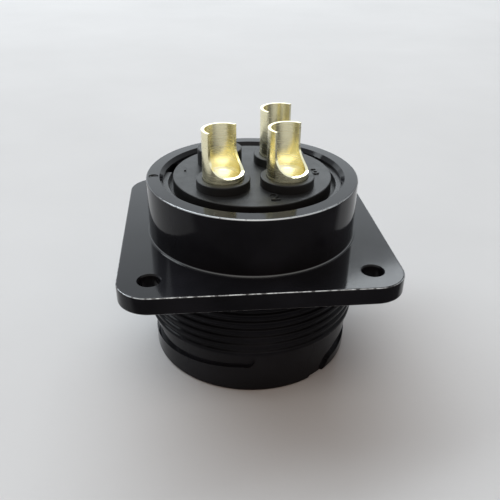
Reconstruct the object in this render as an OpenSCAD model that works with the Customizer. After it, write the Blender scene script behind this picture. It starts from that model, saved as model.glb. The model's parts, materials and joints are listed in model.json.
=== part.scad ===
// Receptacle half of a circular power connector, with a square panel flange.
// It stands on its mating face with the solder cups up.
// The origin is the centre of the flange's rear face, and +Z runs along the axis towards the solder cups.

/* [Rear ring] */
// Outside diameter of the round wall behind the flange
ring_od = 48; // [46:0.5:50]
// Height of the wall above the flange
ring_height = 13.2; // [12:0.1:16]
// Diameter of the bore that takes the insulators
insert_bore = 40.6; // [40:0.1:41.6]
// Radial width of the bore's tapered mouth
lead_in = 0.7; // [0.3:0.1:0.9]
// Depth of the bore's tapered mouth
lead_in_depth = 0.9; // [0.4:0.1:1.1]
// Bevel on the wall's outer edge
ring_edge = 0.4; // [0.2:0.1:0.8]
// Fillet where the wall meets the flange
root_fillet = 0.6; // [0.3:0.1:1.2]
// Diameter of the round index mark in the wall's rear face
mark_d = 2.2; // [1:0.1:2.3]
// Depth of the index mark
mark_depth = 0.3; // [0.1:0.1:0.6]
// Direction of the index mark around the axis
mark_angle = 181; // [0:1:359]

/* [Flange] */
// Width of the square flange
flange_width = 60; // [58:0.5:66]
// Thickness of the flange
flange_thickness = 4; // [3:0.1:6]
// Radius of the flange's corners
flange_corner = 7; // [4:0.5:9]
// Bevel along the flange's edges
flange_edge = 0.35; // [0.2:0.05:0.8]
// Distance between the centres of neighbouring bolt holes
hole_pitch = 46.5; // [45:0.5:50]
// Diameter of the bolt holes
hole_d = 4.5; // [3.5:0.1:5.5]
// Bevel on the bolt holes' rims
hole_edge = 0.3; // [0.1:0.1:0.6]

/* [Front barrel] */
// Outside diameter of the thread
thread_od = 50; // [49:0.5:52]
// Pitch of the thread
thread_pitch = 2; // [1:0.25:2.5]
// Length of the thread in front of the flange
thread_length = 15.8; // [12:0.1:20]
// Length of the round pilot between the flange and the thread
pilot_length = 1; // [0.5:0.1:1.2]
// Step of the pilot above the thread
pilot_step = 0.2; // [0.1:0.1:0.5]
// Outside diameter of the plain barrel in front of the thread
barrel_od = 48; // [47:0.5:49]
// Length of the plain barrel
barrel_length = 10.9; // [10:0.1:14]
// Bevel on the barrel's edges at the mating face
mouth_edge = 0.5; // [0.2:0.1:1]
// Diameter of the cavity that takes the mating plug
cavity_d = 41; // [40:0.5:42]
// Thickness of the inner shoulder that carries the insulators
shoulder_thickness = 4; // [3:0.5:6]
// Width of the key in the cavity
key_width = 4; // [3:0.5:6]
// Height of the key above the cavity's wall
key_height = 1.2; // [0.8:0.1:2]

/* [Bayonet grooves] */
// Number of grooves around the barrel
groove_count = 2; // [2:1:3]
// Width of the grooves, across their run
groove_width = 3.4; // [3:0.1:4]
// Depth of the grooves in the barrel
groove_depth = 0.7; // [0.4:0.1:1.6]
// Direction of the first groove's mouth around the axis
groove_start = 304; // [0:1:359]
// Turn of a groove's steep entry, in degrees
entry_turn = 11; // [8:1:20]
// Rise of a groove's steep entry
entry_rise = 3.9; // [3:0.1:4.5]
// Turn of a groove's shallow ramp, in degrees
ramp_turn = 127; // [60:1:130]
// Extra radius of the round pockets at a groove's bend and end
groove_pocket = 0.2; // [0.2:0.05:0.4]
// Land between a groove's end and the thread
groove_land = 0.4; // [0.2:0.1:1]

/* [Insulators] */
// Diameter of the disc that shows inside the rear ring
disc_d = 36; // [34:0.1:37]
// Bevel on the disc, the bosses and the post
disc_edge = 0.25; // [0.1:0.05:0.5]
// Radial clearance of the insulators in the shell
insert_gap = 0.1; // [0.05:0.05:0.2]
// Thickness of the rear insulator's flange under the retaining ring
rear_flange_thickness = 7; // [5:0.5:8]
// Thickness of the front insulator's flange on the shoulder
front_flange_thickness = 6; // [5:0.5:8]
// Diameter of the front insulator's nose
nose_d = 33; // [32.5:0.1:34]
// Length of the nose in front of the shoulder's rear face
nose_length = 9; // [8:0.5:12]
// Distance between the axes of neighbouring contacts
contact_pitch = 14; // [13:0.1:14.2]
// Diameter of the round bosses at the contacts
boss_d = 11.8; // [10.5:0.1:12.8]
// Height of the bosses above the disc
boss_height = 2; // [1:0.1:2.4]
// Diameter of the blank post in the fourth place
post_d = 10.4; // [8:0.1:12]
// Height of the blank post above the disc
post_height = 3.8; // [2:0.1:6]
// Width of the rib that keeps the insulators from turning
index_width = 3; // [2:0.5:5]
// Height of that rib above the bore's wall
index_height = 1.2; // [0.8:0.1:1.4]

/* [Contacts] */
// Outside diameter of the solder cups
cup_d = 9; // [8:0.1:9.6]
// Diameter of the bore in the solder cups
cup_bore = 7.7; // [6:0.1:7.8]
// Height of the solder cups above the disc
cup_height = 12.8; // [10:0.1:16]
// Height of the cup bore's floor above the disc
cup_floor = 2.6; // [1:0.1:3]
// Radius of the scoop that opens a cup's side
scoop_radius = 5; // [4.8:0.1:6]
// Distance from a cup's axis to the scoop's straight part
scoop_offset = -0.1; // [-1:0.1:1]
// Height of the scoop's lowest point above the disc
scoop_height = 3.1; // [3:0.1:4]
// Direction in which the cups open, around the axis
cup_angle = -45; // [-180:1:180]
// Diameter of the pins in the cavity
pin_d = 8; // [6:0.1:8.2]
// Diameter of the contacts' stems in the front insulator
stem_d = 8.4; // [8.2:0.1:9]
// Depth of the pins' tips behind the mating face
pin_recess = 3; // [1:0.5:6]
// Bevel at the pins' tips
tip_bevel = 1.2; // [0.5:0.1:2]
// Diameter of the collars that hold the contacts between the insulators
collar_d = 12; // [11.2:0.1:12.6]
// Thickness of the collars
collar_thickness = 4; // [3:0.5:5]
// Distance from a contact's axis to the flat on its collar
collar_flat = 5.2; // [4.8:0.1:5.5]
// Clearance of the contacts in the insulators
contact_gap = 0.1; // [0.05:0.05:0.2]

/* [Retaining ring] */
// Inside diameter of the ring
snap_bore = 38.1; // [37.2:0.1:39]
// Thickness of the ring
snap_thickness = 1.5; // [1:0.1:2]
// Depth of the ring's face below the rear ring
snap_depth = 1.6; // [1.3:0.1:3]
// Depth of the ring's groove in the bore's wall
snap_groove_depth = 0.9; // [0.5:0.1:1.2]
// Clearance of the ring in its groove
snap_gap = 0.1; // [0.05:0.05:0.2]
// Direction of the opening between the ring's ends, around the axis
snap_angle = 155.5; // [0:0.5:359.5]
// Opening between the ring's ends, in degrees
snap_opening = 16; // [6:1:40]

/* [Seals] */
// Section diameter of the O-ring under the front insulator
insert_seal_d = 1.6; // [1:0.1:1.8]
// Wall between that O-ring's groove and the nose
seal_land = 0.6; // [0.4:0.1:0.8]
// Section diameter of the O-rings around the contacts
contact_seal_d = 1.5; // [1:0.1:1.7]
// Thickness of the flat gasket in the cavity
gasket_thickness = 2; // [1:0.5:3]
// Clearance of the seals in their grooves
seal_gap = 0.05; // [0.02:0.01:0.1]

/* [Hidden] */
$fn = 96;

// Small overlap that keeps cuts and unions clean
eps = 0.1;

// Radii about the axis
ring_r = ring_od / 2;
bore_r = insert_bore / 2;
barrel_r = barrel_od / 2;
thread_r = thread_od / 2;
thread_depth = 0.3 * thread_pitch;
thread_root_r = thread_r - thread_depth;
pilot_r = thread_r + pilot_step;
cavity_r = cavity_d / 2;
nose_r = nose_d / 2;
shoulder_r = nose_r + insert_gap;
groove_floor_r = barrel_r - groove_depth;
snap_groove_r = bore_r + snap_groove_depth;
flange_bore_r = (bore_r + min(ring_r, thread_root_r)) / 2;
mark_r = (bore_r + lead_in + ring_r - ring_edge) / 2;
insert_seal_r = shoulder_r + seal_land + insert_seal_d / 2 + seal_gap;

// Heights along the axis, from the rear to the mating face
disc_z = ring_height;
snap_top_z = ring_height - snap_depth;
snap_low_z = snap_top_z - snap_thickness;
split_z = snap_low_z - rear_flange_thickness;
seat_z = split_z - front_flange_thickness;
cavity_z = seat_z - shoulder_thickness;
nose_z = seat_z - nose_length;
flange_front_z = -flange_thickness;
thread_end_z = flange_front_z - thread_length;
mating_z = thread_end_z - barrel_length;
pin_tip_z = mating_z + pin_recess;
collar_low_z = split_z - collar_thickness / 2;

// Thread form
flank_angle = 30;
flank_length = thread_depth * tan(flank_angle);
crest_length = 0.48 * thread_pitch;
turns = floor(thread_length / thread_pitch);

// Bayonet groove path, with heights above the mating face
ramp_rise = barrel_length - groove_land - groove_pocket - groove_width / 2 - entry_rise;
entry_slope = entry_rise / entry_turn;
mouth_turn = groove_width / entry_slope;
groove_end_turn = entry_turn + ramp_turn;
cutter_r = thread_r + eps;
// Trim that keeps a ramp's flat ends inside the round pockets, in degrees
ramp_trim = 1.8;

// Slope of the cone that the drill leaves at the bottom of a solder cup
drill_angle = 30;

// Places of the contacts and of the blank post, at the flange's diagonals
contact_places = [[-1, -1], [1, -1], [1, 1]] * contact_pitch / 2;
post_place = [-1, 1] * contact_pitch / 2;

// Points of a quarter fillet that runs from a wall at radius r to a face at height z
fillet_steps = 5;
function fillet(r, z, size) = [
    for (i = [0 : fillet_steps])
        let (a = 90 * i / fillet_steps)
        [r + size * (1 - cos(a)), z + size * (1 - sin(a))]
];

// Ridges of the thread, from the flange to the plain barrel
function thread_points() = [
    for (i = [turns - 1 : -1 : 0])
        let (low = thread_end_z + i * thread_pitch)
        each [
            [thread_root_r, low + 2 * flank_length + crest_length],
            [thread_r, low + flank_length + crest_length],
            [thread_r, low + flank_length],
            [thread_root_r, low]
        ]
];

// Height of a groove's middle above the mating face, at a turn from its mouth
function groove_height(turn) =
    turn < entry_turn
        ? turn * entry_slope
        : entry_rise + (turn - entry_turn) * ramp_rise / ramp_turn;

// Disc with a beveled upper edge, standing at height z
module beveled_disc(d, z, height, bevel) {
    translate([0, 0, z]) cylinder(d = d, h = height - bevel);
    translate([0, 0, z + height - bevel]) cylinder(d1 = d, d2 = d - 2 * bevel, h = bevel);
}

// Round wall, inner steps, thread and barrel of the shell
module shell_turning() {
    rotate_extrude() polygon(concat(
        [
            [bore_r + lead_in, ring_height],
            [ring_r - ring_edge, ring_height],
            [ring_r, ring_height - ring_edge]
        ],
        fillet(ring_r, 0, root_fillet),
        [
            [ring_r + root_fillet, -flange_thickness / 2],
            [pilot_r, -flange_thickness / 2],
            [pilot_r, flange_front_z - pilot_length],
            [thread_root_r, flange_front_z - pilot_length]
        ],
        thread_points(),
        [
            [barrel_r, thread_end_z],
            [barrel_r, mating_z + mouth_edge],
            [barrel_r - mouth_edge, mating_z],
            [cavity_r + mouth_edge, mating_z],
            [cavity_r, mating_z + mouth_edge],
            [cavity_r, cavity_z],
            [shoulder_r, cavity_z],
            [shoulder_r, seat_z],
            [bore_r, seat_z],
            [bore_r, snap_low_z],
            [snap_groove_r, snap_low_z],
            [snap_groove_r, snap_top_z + snap_gap],
            [bore_r, snap_top_z + snap_gap],
            [bore_r, ring_height - lead_in_depth]
        ]
    ));
}

// Section of the flange, with beveled edges
module flange_section() {
    half = flange_width / 2;
    polygon([
        [-half + flange_edge, 0], [half - flange_edge, 0],
        [half, -flange_edge], [half, -flange_thickness + flange_edge],
        [half - flange_edge, -flange_thickness], [-half + flange_edge, -flange_thickness],
        [-half, -flange_thickness + flange_edge], [-half, -flange_edge]
    ]);
}

// One rounded corner of the flange, with beveled edges
module flange_corner_puck() {
    rotate_extrude() polygon([
        [0, 0], [flange_corner - flange_edge, 0],
        [flange_corner, -flange_edge], [flange_corner, -flange_thickness + flange_edge],
        [flange_corner - flange_edge, -flange_thickness], [0, -flange_thickness]
    ]);
}

// Square plate of the flange, open in the middle
module flange_plate() {
    span = flange_width - 2 * flange_corner;
    difference() {
        union() {
            for (a = [0, 90])
                rotate([90, 0, a]) linear_extrude(span, center = true) flange_section();
            for (x = [-1, 1], y = [-1, 1])
                translate([x, y, 0] * span / 2) flange_corner_puck();
        }
        translate([0, 0, -flange_thickness - eps])
            cylinder(r = flange_bore_r, h = flange_thickness + 2 * eps);
    }
}

// Bolt hole with beveled rims
module bolt_hole() {
    rim_r = hole_d / 2 + hole_edge;
    translate([0, 0, -flange_thickness - eps]) cylinder(d = hole_d, h = flange_thickness + 2 * eps);
    translate([0, 0, -hole_edge]) cylinder(r1 = hole_d / 2, r2 = rim_r + eps, h = hole_edge + eps);
    translate([0, 0, -flange_thickness - eps])
        cylinder(r1 = rim_r + eps, r2 = hole_d / 2, h = hole_edge + eps);
}

module bolt_holes() {
    for (x = [-1, 1], y = [-1, 1])
        translate([x, y, 0] * hole_pitch / 2) bolt_hole();
}

// Round pocket of a groove at a turn from its mouth
module groove_round(turn) {
    rotate([0, 0, turn]) translate([0, 0, mating_z + groove_height(turn)])
        rotate([0, 90, 0]) cylinder(r = groove_width / 2 + groove_pocket, h = cutter_r);
}

// Tilted run of a groove between two turns from its mouth
module groove_run(from, to) {
    half_turn = (to - from) / 2;
    chord = 2 * barrel_r * sin(half_turn);
    rise = groove_height(to) - groove_height(from);
    run = norm([chord, rise]);
    rotate([0, 0, from + half_turn])
        translate([0, 0, mating_z + groove_height(from) + rise / 2])
        rotate([atan(rise / chord), 0, 0])
        translate([0, -run / 2, -groove_width / 2])
        cube([cutter_r, run, groove_width]);
}

// One bayonet groove, open at the mating face and round at its end
module bayonet_groove() {
    groove_run(-mouth_turn, entry_turn);
    groove_round(entry_turn);
    groove_run(entry_turn + ramp_trim, groove_end_turn - ramp_trim);
    groove_round(groove_end_turn);
}

// All the grooves, down to their floor
module bayonet_grooves() {
    difference() {
        for (i = [0 : groove_count - 1])
            rotate([0, 0, groove_start + 360 * i / groove_count]) bayonet_groove();
        translate([0, 0, mating_z - barrel_length]) cylinder(r = groove_floor_r, h = 2 * barrel_length);
    }
}

// Rib on a round wall, towards +Y, with a clearance at its sides and its inner face
module wall_rib(wall_r, width, height, low, high, gap = 0) {
    intersection() {
        translate([-width / 2 - gap, wall_r - height - gap, low])
            cube([width + 2 * gap, wall_r, high - low]);
        translate([0, 0, low]) cylinder(r = wall_r + eps, h = high - low);
    }
}

// Rib in the insert bore, from the shoulder to just below the retaining ring
module index_rib() {
    wall_rib(bore_r, index_width, index_height, seat_z - eps, snap_low_z - snap_gap);
}

// Slot in the insulators' flanges for that rib
module index_slot() {
    wall_rib(bore_r, index_width, index_height, seat_z - eps, snap_low_z + eps, insert_gap);
}

// Key in the cavity that takes the plug
module cavity_key(gap = 0) {
    wall_rib(cavity_r, key_width, key_height, mating_z + mouth_edge, cavity_z + eps, gap);
}

// Round index mark in the rear face of the ring
module index_mark() {
    rotate([0, 0, mark_angle]) translate([mark_r, 0, ring_height - mark_depth])
        cylinder(d1 = mark_d - mark_depth, d2 = mark_d + mark_depth, h = 2 * mark_depth);
}

module shell() {
    color("#17181a") difference() {
        union() {
            shell_turning();
            flange_plate();
            index_rib();
            cavity_key();
        }
        bolt_holes();
        bayonet_grooves();
        index_mark();
    }
}

// Collar of a contact with its flat, widened by a clearance
module collar(gap = 0) {
    difference() {
        translate([0, 0, collar_low_z]) cylinder(d = collar_d + 2 * gap, h = collar_thickness);
        rotate([0, 0, cup_angle])
            translate([collar_flat + gap, -collar_d, collar_low_z - eps])
            cube([collar_d, 2 * collar_d, collar_thickness + 2 * eps]);
    }
}

// Scoop that opens the side of a solder cup
module cup_scoop() {
    middle_z = disc_z + scoop_height + scoop_radius;
    rotate([0, 0, cup_angle]) {
        translate([scoop_offset, -cup_d, middle_z]) cube([cup_d, 2 * cup_d, cup_height]);
        translate([scoop_offset + scoop_radius, 0, middle_z])
            rotate([90, 0, 0]) cylinder(r = scoop_radius, h = 2 * cup_d, center = true);
    }
}

// Contact with its pin below, its collar, and its solder cup above
module contact(index) {
    place = contact_places[index];
    pin_r = pin_d / 2;
    stem_r = stem_d / 2;
    cup_r = cup_d / 2;
    bore_low_z = disc_z + cup_floor;
    drill_depth = cup_bore / 2 * tan(drill_angle);
    color("#d8c58a") translate([place[0], place[1], 0]) difference() {
        union() {
            rotate_extrude() polygon([
                [0, pin_tip_z],
                [pin_r - tip_bevel, pin_tip_z],
                [pin_r, pin_tip_z + tip_bevel],
                [pin_r, nose_z],
                [stem_r, nose_z],
                [stem_r, split_z],
                [cup_r, split_z],
                [cup_r, disc_z + cup_height],
                [cup_bore / 2, disc_z + cup_height],
                [cup_bore / 2, bore_low_z],
                [0, bore_low_z - drill_depth]
            ]);
            collar();
        }
        cup_scoop();
    }
}

// Cuts in an insulator that take the contacts' collars
module collar_pockets() {
    for (place = contact_places)
        translate([place[0], place[1], 0]) collar(contact_gap);
}

module rear_insulator() {
    flange_r = bore_r - insert_gap;
    color("#36383b") difference() {
        union() {
            translate([0, 0, split_z]) cylinder(r = flange_r, h = rear_flange_thickness);
            beveled_disc(disc_d, split_z, disc_z - split_z, disc_edge);
            for (place = contact_places)
                translate([place[0], place[1], 0])
                    beveled_disc(boss_d, split_z, disc_z + boss_height - split_z, disc_edge);
            translate([post_place[0], post_place[1], 0])
                beveled_disc(post_d, split_z, disc_z + post_height - split_z, disc_edge);
        }
        collar_pockets();
        for (place = contact_places)
            translate([place[0], place[1], split_z - eps])
                cylinder(r = cup_d / 2 + contact_gap, h = disc_z + boss_height - split_z + 2 * eps);
        index_slot();
    }
}

module front_insulator() {
    flange_r = bore_r - insert_gap;
    seat_r = stem_d / 2 + contact_seal_d + 2 * seal_gap;
    groove_half = insert_seal_d / 2 + seal_gap;
    color("#36383b") difference() {
        union() {
            translate([0, 0, seat_z]) cylinder(r = flange_r, h = front_flange_thickness);
            translate([0, 0, nose_z]) cylinder(r = nose_r, h = nose_length);
        }
        collar_pockets();
        for (place = contact_places) translate([place[0], place[1], 0]) {
            translate([0, 0, nose_z - eps])
                cylinder(r = stem_d / 2 + contact_gap, h = split_z - nose_z + 2 * eps);
            translate([0, 0, collar_low_z - contact_seal_d - 2 * seal_gap])
                cylinder(r = seat_r, h = contact_seal_d + 2 * seal_gap + eps);
        }
        translate([0, 0, seat_z]) rotate_extrude()
            translate([insert_seal_r - groove_half, -eps])
            square([2 * groove_half, insert_seal_d + seal_gap + eps]);
        index_slot();
    }
}

// Flat C-shaped ring that holds the insulators in the shell
module retaining_ring() {
    outer_r = snap_groove_r - snap_gap;
    color("#26282b") rotate([0, 0, snap_angle + snap_opening / 2])
        rotate_extrude(angle = 360 - snap_opening)
        translate([snap_bore / 2, snap_low_z]) square([outer_r - snap_bore / 2, snap_thickness]);
}

// O-ring with its middle at radius r and height z
module o_ring(r, z, section) {
    rotate_extrude() translate([r, z]) circle(d = section);
}

module insert_seal() {
    color("#3c3f42") o_ring(insert_seal_r, seat_z + insert_seal_d / 2, insert_seal_d);
}

module contact_seal(index) {
    place = contact_places[index];
    color("#3c3f42") translate([place[0], place[1], 0])
        o_ring(
            stem_d / 2 + seal_gap + contact_seal_d / 2,
            collar_low_z - seal_gap - contact_seal_d / 2,
            contact_seal_d
        );
}

module mating_gasket() {
    color("#3c3f42") difference() {
        translate([0, 0, cavity_z - gasket_thickness])
            cylinder(r = cavity_r - seal_gap, h = gasket_thickness);
        translate([0, 0, cavity_z - gasket_thickness - eps])
            cylinder(r = nose_r + seal_gap, h = gasket_thickness + 2 * eps);
        cavity_key(seal_gap);
    }
}

shell();
rear_insulator();
front_insulator();
contact(0);  // contact_1
contact(1);  // contact_2
contact(2);  // contact_3
retaining_ring();
insert_seal();
mating_gasket();
contact_seal(0);  // contact_seal_1
contact_seal(1);  // contact_seal_2
contact_seal(2);  // contact_seal_3
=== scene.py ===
"""Square-flange receptacle of a circular power connector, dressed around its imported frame."""

import json
import math

import bmesh
import bpy
from bpy.props import FloatProperty, FloatVectorProperty, PointerProperty
from mathutils import Matrix, Vector


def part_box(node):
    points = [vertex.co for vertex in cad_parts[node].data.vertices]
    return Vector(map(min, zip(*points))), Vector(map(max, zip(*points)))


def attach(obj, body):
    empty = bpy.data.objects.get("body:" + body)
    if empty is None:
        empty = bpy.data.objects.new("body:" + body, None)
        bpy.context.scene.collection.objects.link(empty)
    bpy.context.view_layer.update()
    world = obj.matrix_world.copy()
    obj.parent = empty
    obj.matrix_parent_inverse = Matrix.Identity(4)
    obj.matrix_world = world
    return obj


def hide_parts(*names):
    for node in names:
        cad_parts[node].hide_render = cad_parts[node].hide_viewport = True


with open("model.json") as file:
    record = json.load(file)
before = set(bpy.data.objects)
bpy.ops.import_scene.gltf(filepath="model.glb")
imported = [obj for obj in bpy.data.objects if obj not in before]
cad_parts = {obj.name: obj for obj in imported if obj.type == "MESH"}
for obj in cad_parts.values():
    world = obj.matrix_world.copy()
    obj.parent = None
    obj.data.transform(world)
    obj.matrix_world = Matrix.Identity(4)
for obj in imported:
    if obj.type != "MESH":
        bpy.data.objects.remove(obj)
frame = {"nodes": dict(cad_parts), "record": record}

bl_info = {
    "name": "Circular Connector Receptacle",
    "version": (1, 0, 0),
    "blender": (4, 5, 0),
    "location": "View3D > Sidebar > Connector",
    "description": "Models a square-flange power receptacle around its packed frame",
    "category": "Add Mesh",
}

MM = 0.001
TURN = 2 * math.pi

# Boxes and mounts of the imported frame, in metres
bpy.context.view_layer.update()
SHELL_LOW, SHELL_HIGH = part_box("shell")
REAR_LOW, REAR_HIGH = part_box("rear_insulator")
FRONT_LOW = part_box("front_insulator")[0]
SNAP_LOW, SNAP_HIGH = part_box("retaining_ring")
CONTACT_LOW, CONTACT_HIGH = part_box("contact_1")
COLLAR_RADIUS = (CONTACT_HIGH.x - CONTACT_LOW.x) / 2
MOUNTS = {mount["name"]: mount for mount in frame["record"]["mounts"]}
HOLES = MOUNTS["flange_holes"]["dims"]
CONTACT_NODES = ["contact_1", "contact_2", "contact_3"]

# Places of the contacts and of the blank post, on the level plane through the origin
LEVEL = Vector((1, 1, 0))
CONTACT_PLACES = [sum(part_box(node), Vector()) / 2 * LEVEL for node in CONTACT_NODES]
POST_PLACE = Vector((CONTACT_PLACES[0].x, CONTACT_PLACES[2].y, 0))

# Fineness of the meshes
SHELL_STEPS = 192
SNAP_STEPS = 160
CONTACT_STEPS = 96
GROOVE_STEPS = 64
HOLE_STEPS = 64
MARK_STEPS = 48
SCOOP_STEPS = 32
CORNER_STEPS = 14
ROUND_STEPS = 4
EDGE_STEPS = 3
WELD = 1e-6
TOUCH = 0.004 * MM

# Overlap that keeps cuts and unions clean, and the reach of cutters past a face
SINK = 0.1 * MM
OVER = 10 * SINK

# Slope of the thread's flanks
FLANK = math.radians(30)

# Places of the numerals on the disc, and their font size for each unit of height
NUMERAL_SPOTS = [(-15.2 * MM, 3.4 * MM), (3.4 * MM, -14.0 * MM), (14.5 * MM, -0.7 * MM)]
FONT_SCALE = 1.4

# How far a boss and the post reach down into the disc
BOSS_ROOT = 2 * MM

# Upward part of a face's normal, from and to, where a finish of its own shows
RING_WEAR = (0.55, 0.95)
FLANGE_WEAR = (0.3, 0.8)
FILLET_SHINE = (0.5, 0.7)

# Upward part of the normal above which a face counts as a cup's rim, or as level
RIM_FACE = 0.3
LEVEL_FACE = 0.9

# Range that most of a noise lies in
NOISE_RANGE = (0.3, 0.7)

# Depth of the marks that a lathe tool leaves
TOOL_MARK = 0.0015 * MM

# Stretch towards the front over which worn edges get barer, and the least wear behind it
WEAR_START = -10 * MM
WEAR_END = -21 * MM
LEAST_WEAR = 0.12

# Painted shadow on the floor in front of the part, a band darkened in the floor's colour for mirrored rays
# alone: its fades, slant, share and tone
PAINTED_SHADOW_NEAR = (-42 * MM, -54 * MM)
PAINTED_SHADOW_FAR = (-128 * MM, -108 * MM)
PAINTED_SHADOW_SLANT = 0.45
PAINTED_SHADOW_SHARE = 0.9
PAINTED_SHADOW_TONE = 0.05

# Direction towards the room's bright side, and where along it the room brightens
ROOM_AXIS = (-0.1, 0.8, -0.35)
ROOM_FADE = (-0.85, 0.1)

# Camera's frame in millimetres, and the nearest thing that it sees
SENSOR_WIDTH = 36
CLIP_START = 5 * MM


def length(name, description, millimetres):
    """Property that holds one length."""
    return FloatProperty(
        name=name, description=description, default=millimetres * MM, unit="LENGTH", precision=5
    )


def angle(name, description, degrees):
    """Property that holds one angle."""
    return FloatProperty(
        name=name, description=description, default=math.radians(degrees), subtype="ANGLE"
    )


def amount(name, description, value, unit="NONE"):
    """Property that holds one plain number or a power."""
    return FloatProperty(name=name, description=description, default=value, unit=unit)


def colour(name, description, rgb):
    """Property that holds one linear colour."""
    return FloatVectorProperty(
        name=name, description=description, default=rgb, subtype="COLOR", min=0, max=1
    )


class ShellSizes(bpy.types.PropertyGroup):
    """Sizes of the machined shell"""

    ring_radius: length("Ring radius", "Outside of the rear ring", MOUNTS["rear_ring"]["dims"]["r_mm"])
    ring_edge: length("Ring edge", "Round on the rear ring's outer edge", 0.4)
    bore_radius: length("Bore radius", "Bore that takes the insulators", 20.3)
    lead_in: length("Lead-in", "Radial width of the bore's tapered mouth", 0.7)
    lead_in_depth: length("Lead-in depth", "Depth of the bore's tapered mouth", 0.9)
    root_fillet: length("Root fillet", "Fillet between the ring and the flange", 0.6)
    snap_groove: length("Snap groove", "Depth of the retaining ring's groove", 0.9)
    snap_gap: length("Snap gap", "Clearance of the retaining ring in its groove", 0.1)
    mark_radius: length("Mark radius", "Round index mark in the ring's rear face", 1.1)
    mark_depth: length("Mark depth", "Depth of the index mark", 0.3)
    mark_angle: angle("Mark angle", "Direction of the index mark", 181)
    flange_thickness: length("Flange thickness", "Thickness of the square flange", 4)
    flange_corner: length("Flange corner", "Radius of the flange's corners", 7)
    flange_edge: length("Flange edge", "Round along the flange's edges", 0.35)
    hole_edge: length("Hole edge", "Bevel on the bolt holes' rims", 0.3)
    pilot_radius: length("Pilot radius", "Round pilot between flange and thread", 25.2)
    pilot_length: length("Pilot length", "Length of the pilot", 1)
    thread_radius: length("Thread radius", "Crest of the thread", 25)
    thread_pitch: length("Thread pitch", "Pitch of the thread", 2)
    thread_depth: length("Thread depth", "Depth of the thread", 0.6)
    thread_crest: length("Thread crest", "Flat on the thread's crest", 0.96)
    thread_round: length("Thread round", "Round on the thread's crest and root", 0.24)
    thread_length: length("Thread length", "Length of thread and pilot", 15.8)
    barrel_radius: length("Barrel radius", "Plain barrel in front of the thread", 24)
    mouth_edge: length("Mouth edge", "Round on the barrel's mating edges", 0.5)
    cavity_radius: length("Cavity radius", "Cavity that takes the plug", 20.5)
    shoulder_radius: length("Shoulder radius", "Inner shoulder under the insulators", 16.6)
    shoulder_thickness: length("Shoulder thickness", "Thickness of the inner shoulder", 4)
    seat_depth: length("Seat depth", "Depth of the shoulder below the insulators' joint", 6)
    key_width: length("Key width", "Key in the cavity", 4)
    key_height: length("Key height", "Height of the cavity's key", 1.2)
    index_width: length("Index width", "Rib in the insert bore", 3)
    index_height: length("Index height", "Height of the insert bore's rib", 1.2)
    groove_width: length("Groove width", "Width of a bayonet groove", 3.4)
    groove_depth: length("Groove depth", "Depth of a bayonet groove", 0.7)
    groove_rim: length("Groove rim", "Round on a bayonet groove's rim", 0.14)
    groove_pocket: length("Groove pocket", "Extra radius at a groove's bend and end", 0.2)
    groove_land: length("Groove land", "Land between a groove's end and the thread", 0.4)
    groove_start: angle("Groove start", "Direction of the first groove's mouth", 304)
    entry_turn: angle("Entry turn", "Turn of a groove's steep entry", 11)
    entry_rise: length("Entry rise", "Rise of a groove's steep entry", 3.9)
    ramp_turn: angle("Ramp turn", "Turn of a groove's shallow ramp", 127)


class InsertSizes(bpy.types.PropertyGroup):
    """Sizes of the moulded insulators"""

    disc_radius: length("Disc radius", "Disc inside the rear ring", 18)
    disc_edge: length("Disc edge", "Round on the disc, the bosses and the post", 0.25)
    boss_radius: length("Boss radius", "Round boss at a contact", 5.9)
    boss_height: length("Boss height", "Height of the bosses above the disc", 2)
    post_radius: length("Post radius", "Blank post in the fourth place", 5.2)
    contact_gap: length("Contact gap", "Clearance of the contacts", 0.1)
    insert_gap: length("Insert gap", "Clearance of the rib in its slot", 0.1)
    numeral_size: length("Numeral size", "Height of the contact numerals", 3.2)
    numeral_rise: length("Numeral rise", "Relief of the contact numerals", 0.28)


class ContactSizes(bpy.types.PropertyGroup):
    """Sizes of the solder-cup contacts"""

    cup_radius: length("Cup radius", "Outside of a solder cup", 4.5)
    cup_bore: length("Cup bore", "Bore radius of a solder cup", 3.85)
    drill_depth: length("Drill depth", "Depth of the drill's cone below the bore", 2.2)
    floor_round: length("Floor round", "Round between a cup's bore and the drill's cone", 0.6)
    scoop_radius: length("Scoop radius", "Curve at the foot of a cup's open side", 5)
    scoop_offset: length("Scoop offset", "Open side's distance from the cup's axis", -0.1)
    scoop_height: length("Scoop height", "Lowest point of the scoop above the disc", 3.1)
    cup_angle: angle("Cup angle", "Direction in which the cups open", -45)
    rim_round: length("Rim round", "Round on a cup's rim", 0.1)
    stem_radius: length("Stem radius", "Stem in the front insulator", 4.2)
    tip_bevel: length("Tip bevel", "Bevel at a pin's tip", 1.2)
    collar_thickness: length("Collar thickness", "Thickness of the collar", 4)
    collar_flat: length("Collar flat", "Flat's distance from the contact's axis", 5.2)


class SnapRingSizes(bpy.types.PropertyGroup):
    """Sizes of the retaining ring"""

    bore_radius: length("Bore radius", "Inside of the retaining ring", 19.05)
    edge: length("Edge", "Round on the ring's edges", 0.16)
    opening: angle("Opening", "Opening between the ring's ends", 16)
    direction: angle("Direction", "Direction of the opening", 155.5)


class FinishColours(bpy.types.PropertyGroup):
    """Colours of the finishes"""

    coat: colour("Coat", "Gloss black coat of the shell", (0.0098, 0.01, 0.0125))
    bare_metal: colour("Bare metal", "Metal where the coat is worn", (0.42, 0.43, 0.44))
    moulding: colour("Moulding", "Moulded insulators", (0.0155, 0.016, 0.0165))
    gold: colour("Gold", "Gold plate of the contacts", (0.935, 0.875, 0.6))
    steel: colour("Steel", "Blackened spring steel", (0.02, 0.02, 0.022))
    rubber: colour("Rubber", "Seals", (0.02, 0.02, 0.021))
    paper: colour("Paper", "Floor", (0.572, 0.576, 0.582))


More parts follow.
